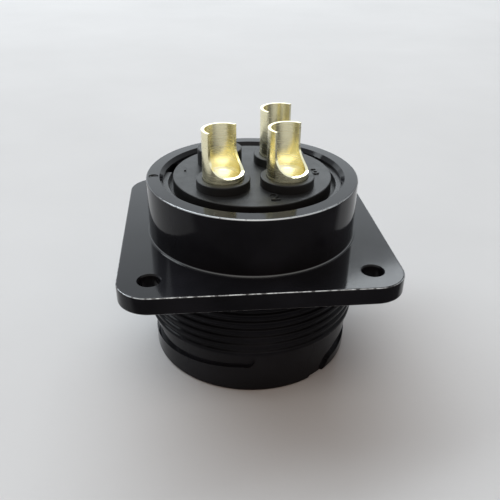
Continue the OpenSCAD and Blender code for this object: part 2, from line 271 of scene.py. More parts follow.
class StageSizes(bpy.types.PropertyGroup):
    """Camera, floor and light"""

    camera_distance: length("Camera distance", "Level distance from the axis", 130.74)
    camera_height: length("Camera height", "Height above the rear ring", 53.8)
    camera_turn: angle("Camera turn", "Turn of the camera's place around the axis", -6.045)
    camera_heading: angle("Camera heading", "Turn of the view to the left of the axis", 0.12)
    camera_pitch: angle("Camera pitch", "Tilt of the view below the horizon", 29.55)
    camera_roll: angle("Camera roll", "Roll of the camera", 0.64)
    camera_lens: amount("Camera lens", "Focal length on a 36 mm frame", 44.19)
    floor_size: length("Floor size", "Width of the floor", 8000)
    key_width: length("Key width", "Width of the lamp high behind the part", 3600)
    key_height: length("Key height", "Height of the lamp high behind the part", 700)
    key_turn: angle("Key turn", "Direction of the lamp high behind the part", 113)
    key_rise: angle("Key rise", "Angle of that lamp above the horizon", 48)
    key_power: amount("Key power", "Power of that lamp", 54.5, "POWER")
    panel_width: length("Panel width", "Width of the lamp low behind the part", 3080)
    panel_height: length("Panel height", "Height of the lamp low behind the part", 935)
    panel_turn: angle("Panel turn", "Direction of the lamp low behind the part", 95)
    panel_rise: angle("Panel rise", "Angle of that lamp above the horizon", 24)
    panel_power: amount("Panel power", "Power of that lamp", 8.8, "POWER")
    fill_width: length("Fill width", "Width of the lamp high in front of the part", 1300)
    fill_height: length("Fill height", "Height of the lamp high in front of the part", 1000)
    fill_turn: angle("Fill turn", "Direction of the lamp high in front of the part", -95)
    fill_rise: angle("Fill rise", "Angle of that lamp above the horizon", 72)
    fill_power: amount("Fill power", "Power of that lamp", 7.4, "POWER")
    lamp_distance: length("Lamp distance", "Distance of the lamps from the rear ring", 2200)
    cool_light: colour("Cool light", "Colour of the light from behind", (0.9, 0.96, 1.0))
    warm_light: colour("Warm light", "Colour of the light from the front", (1.0, 0.95, 0.88))
    room_colour: colour("Room colour", "Light from the room in front of the part", (0.44, 0.26, 0.16))
    backdrop_colour: colour("Backdrop colour", "Room in front as it is seen", (1.0, 0.985, 0.95))
    room_light: amount("Room light", "Strength of the surroundings as light", 0.66)
    room_shine: amount("Room shine", "Strength of the surroundings as seen", 1.0)


# Modelling


def rest_selection():
    """Leave edit mode with nothing selected."""
    if bpy.context.object and bpy.context.object.mode == "EDIT":
        bpy.ops.object.mode_set(mode="OBJECT")
    bpy.ops.object.select_all(action="DESELECT")


def take(piece):
    """Make a piece the only selected and active object."""
    rest_selection()
    piece.select_set(True)
    bpy.context.view_layer.objects.active = piece


def edit(piece):
    """Enter edit mode on a piece, with all of its mesh selected."""
    take(piece)
    bpy.ops.object.mode_set(mode="EDIT")
    bpy.ops.mesh.select_all(action="SELECT")


def choose(piece, kind, test):
    """Select only the vertices, edges or faces that pass a test, in edit mode."""
    bpy.ops.mesh.select_mode(type=kind)
    bpy.ops.mesh.select_all(action="DESELECT")
    mesh = bmesh.from_edit_mesh(piece.data)
    for item in {"VERT": mesh.verts, "EDGE": mesh.edges, "FACE": mesh.faces}[kind]:
        if test(item):
            item.select_set(True)
    mesh.select_flush_mode()
    bmesh.update_edit_mesh(piece.data)


def start_mesh(name):
    """New mesh in edit mode that holds one selected vertex at the origin."""
    rest_selection()
    bpy.ops.mesh.primitive_plane_add(size=MM)
    piece = bpy.context.object
    piece.name = name
    bpy.ops.object.mode_set(mode="EDIT")
    bpy.ops.mesh.select_mode(type="VERT")
    bpy.ops.mesh.select_all(action="SELECT")
    bpy.ops.mesh.merge(type="CENTER")
    return piece


def trace(corners):
    """Draw a chain of edges through (radius, height) corners, from the one vertex of a new mesh."""
    here = Vector()
    for number, (radius, height) in enumerate(corners):
        there = Vector((radius, 0, height))
        if number == 0:
            bpy.ops.transform.translate(value=there - here)
        else:
            bpy.ops.mesh.extrude_vertices_move(TRANSFORM_OT_translate={"value": there - here})
        here = there


def round_corners(piece, corners, size):
    """Round the outline's vertices at the given (radius, height) corners."""
    places = [Vector((radius, 0, height)) for radius, height in corners]
    choose(piece, "VERT", lambda vertex: any((vertex.co - place).length < TOUCH for place in places))
    bpy.ops.mesh.bevel(offset=size, segments=ROUND_STEPS, affect="VERTICES", clamp_overlap=True)


def merge_all():
    """Select the whole mesh and merge its doubles, in edit mode."""
    bpy.ops.mesh.select_all(action="SELECT")
    bpy.ops.mesh.remove_doubles(threshold=WELD)


def close_mesh():
    """Merge doubles and turn all faces outwards, in edit mode, then leave it."""
    merge_all()
    bpy.ops.mesh.normals_make_consistent(inside=False)
    bpy.ops.object.mode_set(mode="OBJECT")


def rod_outline(radius, low, high):
    """Corners of a plain rod's outline."""
    return [(0, high), (radius, high), (radius, low), (0, low)]


def lathe(name, corners, rounds=(), steps=SHELL_STEPS, sweep=TURN):
    """Solid turned about the Z axis from (radius, height) corners; rounds lists (corner numbers, size)."""
    piece = start_mesh(name)
    trace(corners)
    for numbers, size in rounds:
        round_corners(piece, [corners[number] for number in numbers], size)
    merge_all()
    bpy.ops.mesh.spin(steps=steps, angle=sweep, center=(0, 0, 0), axis=(0, 0, 1))
    if sweep < TURN:
        bpy.ops.mesh.select_all(action="SELECT")
        bpy.ops.mesh.fill_holes(sides=0)
    close_mesh()
    return piece


def wind(piece, turn, rise, steps, runs=1):
    """Sweep an outline up along a helix, and leave it in edit mode with all selected."""
    bpy.ops.object.mode_set(mode="OBJECT")
    modifier = piece.modifiers.new("Helix", "SCREW")
    modifier.angle = turn
    modifier.screw_offset = rise
    modifier.iterations = runs
    modifier.steps = steps
    modifier.render_steps = steps
    bpy.ops.object.modifier_apply(modifier=modifier.name)
    edit(piece)


def settle(piece, place=(0, 0, 0), turn=0):
    """Turn a piece about the Z axis, move it, and put that into its mesh."""
    take(piece)
    piece.rotation_euler.z += turn
    piece.location = Vector(piece.location) + Vector(place)
    bpy.ops.object.transform_apply(location=True, rotation=True, scale=True)
    return piece


def block(name, low, high):
    """Box between two corners."""
    rest_selection()
    low = Vector(low)
    high = Vector(high)
    bpy.ops.mesh.primitive_cube_add(size=1, location=(low + high) / 2)
    piece = bpy.context.object
    piece.name = name
    piece.scale = high - low
    bpy.ops.object.transform_apply(location=True, rotation=True, scale=True)
    return piece


def copy_of(piece, place, turn=0):
    """Copy of a piece at another place or turned about the Z axis."""
    take(piece)
    bpy.ops.object.duplicate()
    return settle(bpy.context.object, place, turn)


def repeat(piece, places=(), turns=()):
    """Put copies of a tool at places or turned about the Z axis, joined, instead of the tool."""
    steps = [(place, 0) for place in places] + [((0, 0, 0), turn) for turn in turns]
    first, *others = [copy_of(piece, place, turn) for place, turn in steps]
    bpy.data.objects.remove(piece)
    take(first)
    for other in others:
        other.select_set(True)
    bpy.ops.object.join()
    return first


def combine(piece, tool, operation):
    """Join a piece with a tool body or cut it by that, then remove the tool."""
    take(piece)
    modifier = piece.modifiers.new("Combine", "BOOLEAN")
    modifier.operation = operation
    modifier.solver = "EXACT"
    modifier.object = tool
    bpy.ops.object.modifier_apply(modifier=modifier.name)
    bpy.data.objects.remove(tool)
    if not piece.data.polygons:
        raise RuntimeError(f"{piece.name} was lost when it was combined with a tool")


def union(piece, *tools):
    """Join tool bodies to a piece."""
    for tool in tools:
        combine(piece, tool, "UNION")


def cut(piece, *tools):
    """Cut tool bodies out of a piece."""
    for tool in tools:
        combine(piece, tool, "DIFFERENCE")


def mend(piece):
    """Merge the doubles that cuts leave in a mesh, and fill what stays open after that."""
    edit(piece)
    merge_all()
    bpy.ops.mesh.select_all(action="SELECT")
    bpy.ops.mesh.fill_holes(sides=0)
    close_mesh()


def bevel_edges(piece, test, size, segments=2):
    """Round the edges that pass a test."""
    edit(piece)
    choose(piece, "EDGE", test)
    bpy.ops.mesh.bevel(offset=size, segments=segments, affect="EDGES", clamp_overlap=True)
    close_mesh()


def smooth(piece, degrees=32):
    """Smooth shading between flat faces and rounded edges."""
    take(piece)
    bpy.ops.object.shade_smooth_by_angle(angle=math.radians(degrees))
    modifier = piece.modifiers.new("Weighted", "WEIGHTED_NORMAL")
    modifier.keep_sharp = True
    bpy.ops.object.modifier_apply(modifier=modifier.name)


def paint(piece, *finishes):
    """Give a piece its finishes, the first one all over."""
    piece.data.materials.clear()
    for finish in finishes:
        piece.data.materials.append(finish)


def paint_faces(piece, slot, test):
    """Give the faces that pass a test another one of the piece's finishes."""
    edit(piece)
    choose(piece, "FACE", test)
    piece.active_material_index = slot
    bpy.ops.object.material_slot_assign()
    bpy.ops.object.mode_set(mode="OBJECT")


def stand_for(piece, node):
    """Let a piece ride on the part in place of a node."""
    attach(piece, "root")
    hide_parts(node)


def sharp(edge, degrees=40):
    """Whether an edge is a convex corner."""
    return len(edge.link_faces) == 2 and edge.is_convex and edge.calc_face_angle() > math.radians(degrees)


def radius_of(point):
    """Distance of a point from the Z axis."""
    return math.hypot(point.x, point.y)


def around(radius, turn, height):
    """Place at a radius and an angle around the Z axis."""
    return Vector((radius * math.cos(turn), radius * math.sin(turn), height))


def within(value, limits):
    """Whether a value lies between two limits."""
    return limits[0] < value < limits[1]


# Finishes


class NodeGraph:
    """Nodes of a material or of the world, with helpers that add them."""

    def __init__(self, owner):
        owner.use_nodes = True
        self.nodes = owner.node_tree.nodes
        self.links = owner.node_tree.links

    def add(self, kind, inputs=(), **settings):
        """New node with its settings, and its inputs as values or sockets."""
        node = self.nodes.new(kind)
        for name, value in settings.items():
            setattr(node, name, value)
        for name, value in dict(inputs).items():
            self.set(node.inputs[name], value)
        return node

    def set(self, socket, value):
        """Give a socket a value, or link it to another one."""
        if isinstance(value, bpy.types.NodeSocket):
            self.links.new(value, socket)
        else:
            socket.default_value = value

    def maths(self, operation, first, second=0.0):
        """Result of one sum."""
        return self.add("ShaderNodeMath", {0: first, 1: second}, operation=operation).outputs[0]

    def ramp(self, value, start, end, low=0.0, high=1.0, **settings):
        """Value that goes from low to high while another one goes from start to end."""
        inputs = {"Value": value, "From Min": start, "From Max": end, "To Min": low, "To Max": high}
        return self.add("ShaderNodeMapRange", inputs, **settings).outputs[0]

    def blend(self, factor, first, second):
        """Colour mixed from two."""
        node = self.add("ShaderNodeMix", data_type="RGBA")
        self.set(node.inputs["Factor"], factor)
        for socket, value in ((node.inputs[6], first), (node.inputs[7], second)):
            self.set(socket, value if isinstance(value, bpy.types.NodeSocket) else (*value, 1))
        return node.outputs[2]


class Finish(NodeGraph):
    """Material of one finish."""

    def __init__(self, name, metallic=0.0, specular=0.5):
        self.material = bpy.data.materials.new(name)
        super().__init__(self.material)
        self.shader = self.nodes["Principled BSDF"]
        self.shader.inputs["Metallic"].default_value = metallic
        self.shader.inputs["Specular IOR Level"].default_value = specular
        self.place = self.add("ShaderNodeTexCoord").outputs["Object"]

    def axes(self):
        """The three coordinates of a place on the object."""
        return self.add("ShaderNodeSeparateXYZ", {0: self.place}).outputs

    def noise(self, scale, detail=3.0, roughness=0.5, stretch=(1, 1, 1)):
        """Noise over the object, in cells for each metre."""
        mapping = self.add("ShaderNodeMapping", {"Vector": self.place, "Scale": stretch})
        inputs = {"Vector": mapping.outputs[0], "Scale": scale, "Detail": detail, "Roughness": roughness}
        return self.add("ShaderNodeTexNoise", inputs).outputs[0]

    def turned_lines(self, scale, detail=2.0):
        """Noise that changes along the radius and the axis only, like the marks of a lathe tool."""
        x, y, z = self.axes()
        flat = self.add("ShaderNodeCombineXYZ", {0: x, 1: y}).outputs[0]
        radius = self.add("ShaderNodeVectorMath", {0: flat}, operation="LENGTH").outputs["Value"]
        inputs = {"W": self.maths("ADD", radius, z), "Scale": scale, "Detail": detail}
        return self.add("ShaderNodeTexNoise", inputs, noise_dimensions="1D").outputs[0]

    def between(self, factor, low, high):
        """Value that follows a noise from low to high over the noise's usual range."""
        return self.ramp(factor, *NOISE_RANGE, low, high)

    def mottle(self, factor, rgb, dark, light):
        """Colour that follows a noise from a darker to a lighter tint."""
        return self.blend(self.between(factor, 0, 1), tint(rgb, dark), tint(rgb, light))

    def bump(self, height, distance, strength=1.0, normal=None):
        """Bump of a height in metres."""
        inputs = {"Height": height, "Distance": distance, "Strength": strength}
        if normal:
            inputs["Normal"] = normal
        return self.add("ShaderNodeBump", inputs).outputs[0]

    def surface(self, **inputs):
        """Set the shader's inputs by name, with underscores for blanks."""
        for name, value in inputs.items():
            self.set(self.shader.inputs[name.replace("_", " ")], value)
        return self.material


def tint(rgb, factor):
    """Colour made lighter or darker."""
    return tuple(min(1.0, channel * factor) for channel in rgb)


def coat_finish(name, colours, specular):
    """Gloss black coat over turned metal."""
    finish = Finish(name, specular=specular)
    turned = finish.bump(finish.turned_lines(scale=5200.0), TOOL_MARK)
    grain = finish.noise(scale=2600.0, detail=2.0)
    return finish.surface(
        Base_Color=finish.mottle(finish.noise(scale=70.0), colours.coat, 0.7, 1.4),
        Roughness=finish.between(finish.noise(scale=240.0), 0.07, 0.1),
        Normal=finish.bump(grain, TOOL_MARK, normal=turned),
    )


def worn_edge_finish(name, colours, bare, coated):
    """Edge where the coat has rubbed through to the metal, bare where a noise is above one level."""
    finish = Finish(name, specular=0.4)
    chips = finish.ramp(finish.noise(scale=900.0), coated, bare)
    handled = finish.ramp(finish.axes()[1], WEAR_START, WEAR_END, low=LEAST_WEAR)
    patches = finish.maths("MULTIPLY", chips, handled)
    return finish.surface(
        Base_Color=finish.blend(patches, tint(colours.coat, 2.0), colours.bare_metal),
        Metallic=patches,
        Roughness=finish.between(patches, 0.22, 0.36),
        Normal=finish.bump(finish.noise(scale=4200.0), 0.004 * MM),
    )


def moulding_finish(colours):
    """Satin moulded thermoset."""
    finish = Finish("satin_moulding", specular=0.18)
    return finish.surface(
        Base_Color=finish.mottle(finish.noise(scale=150.0, detail=4.0), colours.moulding, 0.8, 1.2),
        Roughness=finish.between(finish.noise(scale=420.0), 0.34, 0.46),
        Normal=finish.bump(finish.noise(scale=3800.0), 0.02 * MM),
    )


def gold_finish(name, colours, smooth_end, rough_end):
    """Pale gold plate with fine turned marks, between two degrees of roughness."""
    finish = Finish(name, metallic=1.0)
    lines = finish.noise(scale=1.0, roughness=0.6, stretch=(50, 50, 3200))
    return finish.surface(
        Base_Color=finish.mottle(finish.noise(scale=210.0), colours.gold, 0.93, 1.05),
        Roughness=finish.between(lines, smooth_end, rough_end),
        Normal=finish.bump(lines, TOOL_MARK),
    )


def steel_finish(colours):
    """Blackened spring steel."""
    finish = Finish("blackened_steel", specular=0.18)
    lines = finish.turned_lines(scale=2600.0)
    return finish.surface(
        Base_Color=finish.mottle(lines, colours.steel, 0.7, 1.5),
        Roughness=finish.between(finish.noise(scale=500.0), 0.24, 0.38),
        Normal=finish.bump(lines, 0.006 * MM),
    )


def rubber_finish(colours):
    """Matt seal rubber."""
    finish = Finish("seal_rubber", specular=0.35)
    grain = finish.noise(scale=2400.0, detail=4.0)
    return finish.surface(
        Base_Color=finish.mottle(grain, colours.rubber, 0.8, 1.3),
        Roughness=finish.between(grain, 0.6, 0.75),
        Normal=finish.bump(grain, 0.02 * MM),
    )


def paper_finish(colours):
    """Pale paper floor with a faint mottle, and a painted shadow in front: a band whose colour is dark for
    mirrored rays alone.
    """
    finish = Finish("pale_paper", specular=0.1)
    fibre = finish.noise(scale=900.0)
    clouds = finish.noise(scale=9.0, detail=5.0, roughness=0.6)
    paper = finish.mottle(clouds, colours.paper, 0.97, 1.03)
    x, y, _ = finish.axes()
    # Painted shadow: the paper's colour goes dark over this band in front of the part, for mirrored rays
    # only
    aside = finish.maths("MULTIPLY", finish.maths("MAXIMUM", x), PAINTED_SHADOW_SLANT)
    near = finish.ramp(finish.maths("SUBTRACT", y, aside), *PAINTED_SHADOW_NEAR, high=PAINTED_SHADOW_SHARE)
    band = finish.maths("MULTIPLY", near, finish.ramp(y, *PAINTED_SHADOW_FAR))
    mirrored = finish.add("ShaderNodeLightPath").outputs["Is Glossy Ray"]
    dark = finish.maths("MULTIPLY", band, mirrored)
    return finish.surface(
        Base_Color=finish.blend(dark, paper, tint(colours.paper, PAINTED_SHADOW_TONE)),
        Roughness=finish.between(fibre, 0.85, 0.95),
        Normal=finish.bump(fibre, 0.05 * MM, strength=0.4),
    )


# Shell


def shell_levels(sizes):
    """Heights along the axis that several cuts share."""
    seat = REAR_LOW.z - sizes.seat_depth
    return {
        "top": SHELL_HIGH.z,
        "mating": SHELL_LOW.z,
        "seat": seat,
        "cavity": seat - sizes.shoulder_thickness,
        "thread": -sizes.flange_thickness - sizes.pilot_length,
        "barrel": -sizes.flange_thickness - sizes.thread_length,
    }


def turned_blank(sizes, level):
    """Outside of the ring, the pilot, the core under the thread and the barrel."""
    core = sizes.thread_radius - sizes.thread_depth - SINK
    inside_flange = -sizes.flange_thickness / 2
    skirt = sizes.ring_radius + sizes.root_fillet + 2 * SINK
    skirt_top = -SINK / 4
    barrel_top = level["barrel"] + 2 * SINK
    corners = [
        (0, level["top"]),
        (sizes.ring_radius, level["top"]),
        (sizes.ring_radius, skirt_top),
        (skirt, skirt_top),
        (skirt, inside_flange),
        (sizes.pilot_radius, inside_flange),
        (sizes.pilot_radius, level["thread"]),
        (core, level["thread"]),
        (core, barrel_top),
        (sizes.barrel_radius, barrel_top),
        (sizes.barrel_radius, level["mating"]),
        (0, level["mating"]),
    ]
    rounds = [([1], sizes.ring_edge), ([2], sizes.root_fillet), ([6], 2 * SINK), ([10], sizes.mouth_edge)]
    return lathe("turned_shell", corners, rounds)


def flange_plate(sizes):
    """Square plate with round corners and edges."""
    low = (SHELL_LOW.x, SHELL_LOW.y, -sizes.flange_thickness)
    piece = block("flange", low, (SHELL_HIGH.x, SHELL_HIGH.y, 0))
    edit(piece)
    choose(piece, "EDGE", lambda edge: abs(edge.verts[0].co.z - edge.verts[1].co.z) > TOUCH)
    bpy.ops.mesh.bevel(offset=sizes.flange_corner, segments=CORNER_STEPS, affect="EDGES")
    choose(piece, "FACE", lambda face: abs(face.normal.z) > LEVEL_FACE)
    bpy.ops.mesh.region_to_loop()
    bpy.ops.mesh.bevel(offset=sizes.flange_edge, segments=EDGE_STEPS, affect="EDGES")
    close_mesh()
    return piece


def thread_rod(sizes, level):
    """Helical thread between the pilot and the barrel, as a solid rod."""
    root = sizes.thread_radius - sizes.thread_depth
    flank = sizes.thread_depth * math.tan(FLANK)
    start = level["barrel"] - sizes.thread_pitch
    corners = [
        (root, start),
        (sizes.thread_radius, start + flank),
        (sizes.thread_radius, start + flank + sizes.thread_crest),
        (root, start + 2 * flank + sizes.thread_crest),
        (root, start + sizes.thread_pitch),
    ]
    piece = start_mesh("thread")
    trace(corners)
    round_corners(piece, corners[1:4], sizes.thread_round)
    runs = math.ceil(sizes.thread_length / sizes.thread_pitch) + 2
    wind(piece, TURN, sizes.thread_pitch, SHELL_STEPS, runs)
    merge_all()
    for height, below in ((level["barrel"], True), (level["thread"] + SINK, False)):
        bpy.ops.mesh.select_all(action="SELECT")
        bpy.ops.mesh.bisect(
            plane_co=(0, 0, height), plane_no=(0, 0, 1), use_fill=True,
            clear_inner=below, clear_outer=not below, threshold=WELD,
        )
    close_mesh()
    return piece


def bored_core(sizes, level):
    """Everything that is bored out of the blank, from the ring to the cavity."""
    slope = sizes.lead_in / sizes.lead_in_depth
    groove = sizes.bore_radius + sizes.snap_groove
    groove_top = SNAP_HIGH.z + sizes.snap_gap
    return lathe("core", [
        (0, level["top"] + OVER),
        (sizes.bore_radius + sizes.lead_in + OVER * slope, level["top"] + OVER),
        (sizes.bore_radius, level["top"] - sizes.lead_in_depth),
        (sizes.bore_radius, groove_top),
        (groove, groove_top),
        (groove, SNAP_LOW.z),
        (sizes.bore_radius, SNAP_LOW.z),
        (sizes.bore_radius, level["seat"]),
        (sizes.shoulder_radius, level["seat"]),
        (sizes.shoulder_radius, level["cavity"]),
        (sizes.cavity_radius, level["cavity"]),
        (sizes.cavity_radius, level["mating"] + sizes.mouth_edge),
        (sizes.cavity_radius + sizes.mouth_edge + OVER, level["mating"] - OVER),
        (0, level["mating"] - OVER),
    ])


def wall_rib(name, wall, width, height, low, high):
    """Rib on the inside of a round wall, towards +Y."""
    return block(name, (-width / 2, wall - height, low), (width / 2, wall + OVER / 2, high))


def bolt_holes(sizes):
    """Four drilled holes with bevelled rims."""
    hole = HOLES["hole_r_mm"] * MM
    half = HOLES["spacing_x_mm"] * MM / 2
    rim = hole + sizes.hole_edge + SINK
    front = -sizes.flange_thickness
    corners = [
        (0, SINK),
        (rim, SINK),
        (hole, -sizes.hole_edge),
        (hole, front + sizes.hole_edge),
        (rim, front - SINK),
        (0, front - SINK),
    ]
    tool = lathe("hole", corners, [([2, 3], sizes.hole_edge / 2)], steps=HOLE_STEPS)
    return repeat(tool, places=[(x * half, y * half, 0) for x in (-1, 1) for y in (-1, 1)])


def groove_run(sizes, level, start, turn, low, rise):
    """Part of a groove that climbs at one slope around the barrel."""
    tilt = math.atan2(rise, sizes.barrel_radius * turn)
    half = sizes.groove_width / math.cos(tilt) / 2
    inner = sizes.barrel_radius - 2 * sizes.groove_depth
    outer = sizes.thread_radius + SINK
    height = level["mating"] + low
    bottom = height - half
    top = height + half
    piece = start_mesh("groove_run")
    trace([(inner, bottom), (outer, bottom), (outer, top), (inner, top), (inner, bottom)])
    merge_all()
    wind(piece, turn, rise, GROOVE_STEPS)
    bpy.ops.mesh.fill_holes(sides=0)
    close_mesh()
    return settle(piece, turn=start)


def groove_round(sizes, level, turn, height):
    """Round pocket of a groove, square to the barrel."""
    rest_selection()
    bpy.ops.mesh.primitive_cylinder_add(
        vertices=GROOVE_STEPS,
        radius=sizes.groove_width / 2 + sizes.groove_pocket,
        depth=4 * sizes.groove_depth,
        location=around(sizes.barrel_radius, turn, level["mating"] + height),
        rotation=(0, math.pi / 2, turn),
    )
    return settle(bpy.context.object)


def bayonet_grooves(sizes, level):
    """Two grooves, each a steep entry and a shallow ramp, down to a round floor."""
    end_round = sizes.groove_land + sizes.groove_pocket + sizes.groove_width / 2
    end_height = level["barrel"] - level["mating"] - end_round
    ramp_rise = end_height - sizes.entry_rise
    mouth_turn = sizes.entry_turn * sizes.groove_width / sizes.entry_rise
    entry_share = (mouth_turn + sizes.entry_turn) / sizes.entry_turn
    tool = groove_run(
        sizes, level, -mouth_turn, mouth_turn + sizes.entry_turn,
        -sizes.groove_width, entry_share * sizes.entry_rise,
    )
    union(
        tool,
        groove_run(sizes, level, sizes.entry_turn, sizes.ramp_turn, sizes.entry_rise, ramp_rise),
        groove_round(sizes, level, sizes.entry_turn, sizes.entry_rise),
        groove_round(sizes, level, sizes.entry_turn + sizes.ramp_turn, end_height),
    )
    floor_radius = sizes.barrel_radius - sizes.groove_depth
    floor_low = level["mating"] - sizes.barrel_radius
    cut(tool, lathe("groove_floor", rod_outline(floor_radius, floor_low, level["barrel"] + OVER)))
    return repeat(tool, turns=[sizes.groove_start, sizes.groove_start + TURN / 2])


def index_mark(sizes, level):
    """Shallow round mark in the ring's rear face."""
    inner = sizes.bore_radius + sizes.lead_in
    outer = sizes.ring_radius - sizes.ring_edge
    depth = sizes.mark_depth
    corners = [
        (0, depth),
        (sizes.mark_radius + depth / 2, depth),
        (sizes.mark_radius - depth / 2, -depth),
        (0, -depth),
    ]
    tool = lathe("mark", corners, [([2], depth / 2)], steps=MARK_STEPS)
    return settle(tool, around((inner + outer) / 2, sizes.mark_angle, level["top"]))


def on_ring_edge(face, sizes):
    """Whether a face lies in the middle of the round on the rear ring's outer edge."""
    middle = face.calc_center_median()
    high = middle.z > SHELL_HIGH.z - sizes.ring_edge
    outside = radius_of(middle) > sizes.ring_radius - sizes.ring_edge
    return high and outside and within(face.normal.z, RING_WEAR)


def on_flange_edge(face, sizes):
    """Whether a face lies in the middle of the round on the flange's outer edges."""
    middle = face.calc_center_median()
    in_flange = -sizes.flange_thickness - TOUCH < middle.z < TOUCH
    rim = max(abs(middle.x), abs(middle.y)) > SHELL_HIGH.x - 2 * sizes.flange_edge
    corner_centre = math.sqrt(2) * (SHELL_HIGH.x - sizes.flange_corner)
    corner = radius_of(middle) > corner_centre + sizes.flange_corner - OVER
    return in_flange and (rim or corner) and within(abs(face.normal.z), FLANGE_WEAR)


def on_root_fillet(face, sizes):
    """Whether a face lies on the fillet between the ring and the flange."""
    middle = face.calc_center_median()
    beside = 0 < radius_of(middle) - sizes.ring_radius < sizes.root_fillet + SINK
    return beside and 0 < middle.z < sizes.root_fillet and within(face.normal.z, FILLET_SHINE)


def on_thread(face, sizes):
    """Whether a face lies on the thread in front of the flange."""
    middle = face.calc_center_median()
    in_thread = -sizes.thread_length < middle.z + sizes.flange_thickness < -TOUCH
    return in_thread and radius_of(middle) > sizes.barrel_radius - 2 * OVER


def make_shell(sizes, colours):
    """One machined piece: ring, flange, thread and barrel."""
    level = shell_levels(sizes)
    shell = turned_blank(sizes, level)
    union(shell, flange_plate(sizes), thread_rod(sizes, level))
    cut(shell, bored_core(sizes, level))
    union(
        shell,
        wall_rib(
            "rib", sizes.bore_radius, sizes.index_width, sizes.index_height,
            level["seat"] - SINK, SNAP_LOW.z - sizes.snap_gap,
        ),
        wall_rib(
            "key", sizes.cavity_radius, sizes.key_width, sizes.key_height,
            level["mating"] + sizes.mouth_edge, level["cavity"] + SINK,
        ),
    )
    cut(shell, bolt_holes(sizes), bayonet_grooves(sizes, level), index_mark(sizes, level))

    def at_groove_rim(edge):
        low = level["mating"] + sizes.mouth_edge
        high = level["barrel"] - TOUCH
        near = 8 * TOUCH
        on_barrel = all(abs(radius_of(v.co) - sizes.barrel_radius) < near for v in edge.verts)
        return on_barrel and all(low < v.co.z < high for v in edge.verts) and sharp(edge, degrees=50)

    bevel_edges(shell, at_groove_rim, sizes.groove_rim)
    paint(
        shell,
        coat_finish("gloss_black_coat", colours, specular=0.15),
        worn_edge_finish("rubbed_ring_edge", colours, bare=0.42, coated=0.3),
        worn_edge_finish("worn_flange_edge", colours, bare=0.56, coated=0.34),
        coat_finish("polished_fillet", colours, specular=1.0),
        coat_finish("dull_thread_coat", colours, specular=0.05),
    )
    tests = (on_ring_edge, on_flange_edge, on_root_fillet, on_thread)
    for slot, test in enumerate(tests, start=1):
        paint_faces(shell, slot, lambda face: test(face, sizes))
    smooth(shell)
    stand_for(shell, "shell")


# Insulators


def rounded_post(name, radius, low, high, edge, place):
    """Upright round post with a rounded upper edge."""
    post = lathe(name, rod_outline(radius, low, high), [([1], edge)], steps=CONTACT_STEPS)
    return settle(post, place)


def flatted_form(name, corners, contacts, gap):
    """Turned form whose widest part has a flat on the side where the cups open."""
    piece = lathe(name, corners, steps=CONTACT_STEPS)
    edit(piece)
    normal = around(1, contacts.cup_angle, 0)
    bpy.ops.mesh.bisect(
        plane_co=normal * (contacts.collar_flat + gap), plane_no=normal, use_fill=True, clear_outer=True
    )
    close_mesh()
    return piece


def numeral(text, sizes, place):
    """Raised numeral on the disc, read from the front."""
    rest_selection()
    bpy.ops.object.text_add()
    piece = bpy.context.object
    piece.data.body = text
    piece.data.size = FONT_SCALE * sizes.numeral_size
    piece.data.align_x = "CENTER"
    piece.data.align_y = "CENTER"
    piece.data.extrude = sizes.numeral_rise
    bpy.ops.object.convert(target="MESH")
    piece = bpy.context.object
    bpy.ops.object.mode_set(mode="EDIT")
    close_mesh()
    return settle(piece, place)


def make_rear_insulator(sizes, shell, contacts, finish):
    """Moulded disc with three bosses, a blank post and the contact numerals."""
    disc = SHELL_HIGH.z
    low = REAR_LOW.z
    foot = disc - BOSS_ROOT
    boss_top = disc + sizes.boss_height
    corners = [
        (0, disc),
        (sizes.disc_radius, disc),
        (sizes.disc_radius, SNAP_LOW.z),
        (REAR_HIGH.x, SNAP_LOW.z),
        (REAR_HIGH.x, low),
        (0, low),
    ]
    piece = lathe("moulded_insert", corners, [([1], sizes.disc_edge)])
    for place in CONTACT_PLACES:
        union(piece, rounded_post("boss", sizes.boss_radius, foot, boss_top, sizes.disc_edge, place))
    union(piece, rounded_post("post", sizes.post_radius, foot, REAR_HIGH.z, sizes.disc_edge, POST_PLACE))
    hole = contacts.cup_radius + sizes.contact_gap
    pocket = COLLAR_RADIUS + sizes.contact_gap
    pocket_top = low + contacts.collar_thickness / 2
    stepped_hole = [
        (0, REAR_HIGH.z),
        (hole, REAR_HIGH.z),
        (hole, pocket_top),
        (pocket, pocket_top),
        (pocket, low - SINK),
        (0, low - SINK),
    ]
    for place in CONTACT_PLACES:
        cut(piece, settle(flatted_form("cup_hole", stepped_hole, contacts, sizes.contact_gap), place))
    gap = sizes.insert_gap
    cut(piece, wall_rib(
        "slot", shell.bore_radius, shell.index_width + 2 * gap, shell.index_height + gap,
        low - SINK, SNAP_LOW.z + SINK,
    ))
    for number, spot in enumerate(NUMERAL_SPOTS, start=1):
        union(piece, numeral(str(number), sizes, (*spot, disc)))
    mend(piece)
    smooth(piece)
    paint(piece, finish)
    stand_for(piece, "rear_insulator")


# Contacts


def scoop_tool(contacts, low, top):
    """Cutter that opens a cup's side and curves out at its foot."""
    side = contacts.scoop_offset
    reach = 2 * contacts.cup_radius
    piece = block("scoop", (side, -reach, low), (reach + contacts.scoop_radius, reach, top + OVER))

    def at_foot(edge):
        return all(abs(v.co.z - low) < TOUCH and abs(v.co.x - side) < TOUCH for v in edge.verts)

    edit(piece)
    choose(piece, "EDGE", at_foot)
    bpy.ops.mesh.bevel(offset=contacts.scoop_radius, segments=SCOOP_STEPS, affect="EDGES")
    close_mesh()
    return settle(piece, turn=contacts.cup_angle)


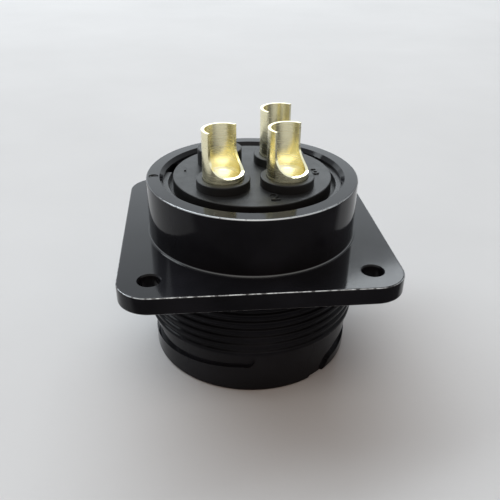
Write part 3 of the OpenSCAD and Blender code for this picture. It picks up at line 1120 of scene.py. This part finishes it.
def make_contacts(contacts, colours):
    """Turned pins with a collar below and an open solder cup above."""
    top = CONTACT_HIGH.z
    tip = CONTACT_LOW.z
    pin = MOUNTS["contact_pin_1"]["dims"]["r_mm"] * MM
    floor = MOUNTS["solder_cup_1"]["pos_m"][2]
    corners = [
        (0, tip),
        (pin - contacts.tip_bevel, tip),
        (pin, tip + contacts.tip_bevel),
        (pin, FRONT_LOW.z),
        (contacts.stem_radius, FRONT_LOW.z),
        (contacts.stem_radius, REAR_LOW.z),
        (contacts.cup_radius, REAR_LOW.z),
        (contacts.cup_radius, top),
        (contacts.cup_bore, top),
        (contacts.cup_bore, floor),
        (0, floor - contacts.drill_depth),
    ]
    rounds = [([1, 2], contacts.tip_bevel / 3), ([9], contacts.floor_round)]
    model = lathe("cup_contact", corners, rounds, steps=CONTACT_STEPS)
    half = contacts.collar_thickness / 2
    collar = rod_outline(COLLAR_RADIUS, REAR_LOW.z - half, REAR_LOW.z + half)
    union(model, flatted_form("collar", collar, contacts, 0))
    scoop_low = SHELL_HIGH.z + contacts.scoop_height
    cut(model, scoop_tool(contacts, scoop_low, top))

    def at_rim(edge):
        return sharp(edge) and all(v.co.z > scoop_low - SINK for v in edge.verts)

    def on_rim(face):
        middle = face.calc_center_median()
        in_wall = radius_of(middle) > contacts.cup_bore - TOUCH
        return in_wall and middle.z > scoop_low - SINK and face.normal.z > RIM_FACE

    bevel_edges(model, at_rim, contacts.rim_round, segments=EDGE_STEPS)
    paint(
        model,
        gold_finish("pale_gold_plate", colours, smooth_end=0.22, rough_end=0.29),
        gold_finish("cut_gold_rim", colours, smooth_end=0.08, rough_end=0.12),
    )
    paint_faces(model, 1, on_rim)
    smooth(model)
    for node, place in zip(CONTACT_NODES, CONTACT_PLACES):
        piece = copy_of(model, place)
        piece.name = f"cup_{node}"
        stand_for(piece, node)
    bpy.data.objects.remove(model)


# Retaining ring


def make_snap_ring(sizes, finish):
    """C-shaped ring in the shell's groove."""
    inner = sizes.bore_radius
    outer = max(SNAP_HIGH.x, -SNAP_LOW.y)
    low = SNAP_LOW.z
    high = SNAP_HIGH.z
    corners = [(inner, low), (outer, low), (outer, high), (inner, high), (inner, low)]
    rounds = [([1, 2, 3], sizes.edge)]
    piece = lathe("snap_ring", corners, rounds, steps=SNAP_STEPS, sweep=TURN - sizes.opening)
    settle(piece, turn=sizes.direction - sizes.opening / 2)
    smooth(piece)
    paint(piece, finish)
    stand_for(piece, "retaining_ring")


# Stage


def make_floor(sizes, colours):
    """Plain pale floor under the mating face."""
    rest_selection()
    bpy.ops.mesh.primitive_plane_add(size=sizes.floor_size, location=(0, 0, SHELL_LOW.z))
    floor = bpy.context.object
    floor.name = "floor"
    bpy.ops.object.transform_apply(location=True, rotation=True, scale=True)
    paint(floor, paper_finish(colours))


def make_lamp(name, sizes, rgb):
    """Softbox that faces the rear ring, with the sizes that start with its name."""
    width, height, turn, rise, power = (
        getattr(sizes, f"{name}_{size}") for size in ("width", "height", "turn", "rise", "power")
    )
    distance = sizes.lamp_distance
    offset = around(distance * math.cos(rise), turn, distance * math.sin(rise))
    rest_selection()
    bpy.ops.object.light_add(type="AREA", location=Vector((0, 0, SHELL_HIGH.z)) + offset)
    lamp = bpy.context.object
    lamp.name = name
    lamp.rotation_euler = (-offset).to_track_quat("-Z", "Y").to_euler()
    lamp.data.shape = "RECTANGLE"
    lamp.data.size = width
    lamp.data.size_y = height
    lamp.data.energy = power
    lamp.data.color = rgb


def make_room(sizes):
    """Surroundings that are bright behind the part and light it less from the front."""
    world = bpy.data.worlds.new("studio_room")
    bpy.context.scene.world = world
    room = NodeGraph(world)
    path = room.add("ShaderNodeLightPath").outputs
    seen = path["Is Camera Ray"]
    for name in ("Is Glossy Ray", "Is Transmission Ray"):
        seen = room.maths("MAXIMUM", seen, path[name])
    place = room.add("ShaderNodeTexCoord").outputs["Generated"]
    side = room.add("ShaderNodeVectorMath", {0: place, 1: ROOM_AXIS}, operation="DOT_PRODUCT")
    share = room.ramp(side.outputs["Value"], *ROOM_FADE, interpolation_type="SMOOTHSTEP")
    front = room.blend(seen, sizes.room_colour, sizes.backdrop_colour)
    background = room.nodes["Background"].inputs
    room.set(background["Color"], room.blend(share, front, sizes.cool_light))
    room.set(background["Strength"], room.ramp(seen, 0, 1, sizes.room_light, sizes.room_shine))


def make_camera(sizes):
    """Camera at the photograph's place and angle."""
    rest_selection()
    bpy.ops.object.camera_add()
    camera = bpy.context.object
    camera.name = "camera"
    camera.data.sensor_width = SENSOR_WIDTH
    camera.data.lens = sizes.camera_lens
    camera.data.clip_start = CLIP_START
    turn = Matrix.Rotation(sizes.camera_turn, 4, "Z")
    place = turn @ Vector((0, -sizes.camera_distance, sizes.camera_height)) + Vector((0, 0, SHELL_HIGH.z))
    heading = Matrix.Rotation(sizes.camera_turn + sizes.camera_heading, 4, "Z")
    pitch = Matrix.Rotation(math.pi / 2 - sizes.camera_pitch, 4, "X")
    roll = Matrix.Rotation(sizes.camera_roll, 4, "Z")
    camera.matrix_world = Matrix.Translation(place) @ heading @ pitch @ roll
    bpy.context.scene.camera = camera


# Operators and panel


class CONNECTOR_OT_shell(bpy.types.Operator):
    """Model the machined shell"""

    bl_idname = "connector.shell"
    bl_label = "Shell"

    def execute(self, context):
        scene = context.scene
        make_shell(scene.connector_shell, scene.connector_colours)
        return {"FINISHED"}


class CONNECTOR_OT_insulators(bpy.types.Operator):
    """Model the rear insulator and finish the front one"""

    bl_idname = "connector.insulators"
    bl_label = "Insulators"

    def execute(self, context):
        scene = context.scene
        finish = moulding_finish(scene.connector_colours)
        make_rear_insulator(scene.connector_insert, scene.connector_shell, scene.connector_contact, finish)
        paint(frame["nodes"]["front_insulator"], finish)
        return {"FINISHED"}


class CONNECTOR_OT_contacts(bpy.types.Operator):
    """Model the three solder-cup contacts"""

    bl_idname = "connector.contacts"
    bl_label = "Contacts"

    def execute(self, context):
        scene = context.scene
        make_contacts(scene.connector_contact, scene.connector_colours)
        return {"FINISHED"}


class CONNECTOR_OT_retaining_ring(bpy.types.Operator):
    """Model the retaining ring"""

    bl_idname = "connector.retaining_ring"
    bl_label = "Retaining ring"

    def execute(self, context):
        scene = context.scene
        make_snap_ring(scene.connector_snap_ring, steel_finish(scene.connector_colours))
        return {"FINISHED"}


class CONNECTOR_OT_seals(bpy.types.Operator):
    """Finish the gasket and the O-rings"""

    bl_idname = "connector.seals"
    bl_label = "Seals"

    def execute(self, context):
        finish = rubber_finish(context.scene.connector_colours)
        for name, node in frame["nodes"].items():
            if "seal" in name or "gasket" in name:
                paint(node, finish)
        return {"FINISHED"}


class CONNECTOR_OT_stage(bpy.types.Operator):
    """Set the floor, the light and the camera"""

    bl_idname = "connector.stage"
    bl_label = "Stage"

    def execute(self, context):
        scene = context.scene
        stage = scene.connector_stage
        make_floor(stage, scene.connector_colours)
        make_lamp("key", stage, stage.cool_light)
        make_lamp("panel", stage, stage.cool_light)
        make_lamp("fill", stage, stage.warm_light)
        make_room(stage)
        make_camera(stage)
        scene.view_settings.view_transform = "Standard"
        return {"FINISHED"}


OPERATORS = (
    CONNECTOR_OT_shell,
    CONNECTOR_OT_insulators,
    CONNECTOR_OT_contacts,
    CONNECTOR_OT_retaining_ring,
    CONNECTOR_OT_seals,
    CONNECTOR_OT_stage,
)


class CONNECTOR_PT_pieces(bpy.types.Panel):
    """Pieces of the connector"""

    bl_idname = "CONNECTOR_PT_pieces"
    bl_label = "Connector"
    bl_space_type = "VIEW_3D"
    bl_region_type = "UI"
    bl_category = "Connector"

    def draw(self, context):
        for operator in OPERATORS:
            self.layout.operator(operator.bl_idname)


GROUPS = {
    "connector_shell": ShellSizes,
    "connector_insert": InsertSizes,
    "connector_contact": ContactSizes,
    "connector_snap_ring": SnapRingSizes,
    "connector_colours": FinishColours,
    "connector_stage": StageSizes,
}
CLASSES = (*GROUPS.values(), *OPERATORS, CONNECTOR_PT_pieces)


def register():
    """Register the classes, and put the sizes and colours on the scene."""
    for item in CLASSES:
        bpy.utils.register_class(item)
    for name, group in GROUPS.items():
        setattr(bpy.types.Scene, name, PointerProperty(type=group))


def unregister():
    """Take the sizes, the colours and the classes away again."""
    for name in GROUPS:
        delattr(bpy.types.Scene, name)
    for item in reversed(CLASSES):
        bpy.utils.unregister_class(item)


def main():
    """Make every piece and the stage."""
    register()
    bpy.ops.connector.shell()
    bpy.ops.connector.insulators()
    bpy.ops.connector.contacts()
    bpy.ops.connector.retaining_ring()
    bpy.ops.connector.seals()
    bpy.ops.connector.stage()


if __name__ == "__main__":
    main()
